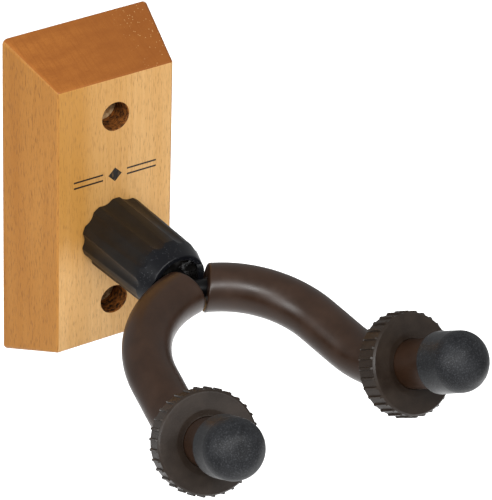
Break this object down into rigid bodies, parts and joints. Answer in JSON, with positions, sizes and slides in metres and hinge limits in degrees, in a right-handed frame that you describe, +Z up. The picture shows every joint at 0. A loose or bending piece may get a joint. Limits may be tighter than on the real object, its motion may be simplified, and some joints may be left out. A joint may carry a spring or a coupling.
{
  "type": "wall guitar hanger",
  "caption": "Wall hanger for a guitar: bevelled hardwood block with a swivelling padded yoke, sliding rubber rings and domed end caps.",
  "frame": {"origin": "on the wall, at the middle of the wooden block's back face, which is also the middle of the two wall screws", "axes": "+X to the right facing the wall, +Y into the wall, +Z up; the yoke stands out along -Y"},
  "size_m": [0.1154, 0.1778, 0.1222],
  "materials": {
    "wood": "clear-coated light hardwood, satin",
    "nylon": "natural nylon, matt",
    "insert_nylon": "dyed nylon, matt",
    "zinc_steel": "zinc plated steel",
    "spring_steel": "blackened spring steel",
    "black_steel": "black coated steel, gloss",
    "black_plastic": "moulded plastic, satin",
    "brown_tubing": "soft vinyl tubing, satin",
    "ring_rubber": "moulded rubber, matt",
    "cap_rubber": "moulded rubber, dusty matt"
  },
  "bodies": {
    "wall_side": {"wood_block": "wood", "front_bushing": "nylon", "rear_bushing": "nylon"},
    "yoke": {"swivel_shaft": "black_steel", "front_washer": "zinc_steel", "spacer_sleeve": "zinc_steel", "collar": "black_plastic", "back_washer": "zinc_steel", "spring_washer": "spring_steel", "lock_nut": "zinc_steel", "nut_insert": "insert_nylon", "yoke_rod": "black_steel", "left_tube": "brown_tubing", "right_tube": "brown_tubing", "left_cap": "cap_rubber", "right_cap": "cap_rubber"},
    "left_ring": {"left_ring": "ring_rubber"},
    "right_ring": {"right_ring": "ring_rubber"}
  },
  "joints": [
    {"name": "yoke_swivel", "type": "hinge", "parent": "wall_side", "child": "yoke", "pos_m": [0, 0, -0.009], "axis": [0, 1, 0], "continuous": true},
    {"name": "left_ring_slide", "type": "slide", "parent": "yoke", "child": "left_ring", "axis": [-0.1779, -0.878, 0.4444], "range_m": [0, 0.0127]},
    {"name": "right_ring_slide", "type": "slide", "parent": "yoke", "child": "right_ring", "axis": [0.1345, -0.878, 0.4594], "range_m": [0, 0.0127]}
  ]
}
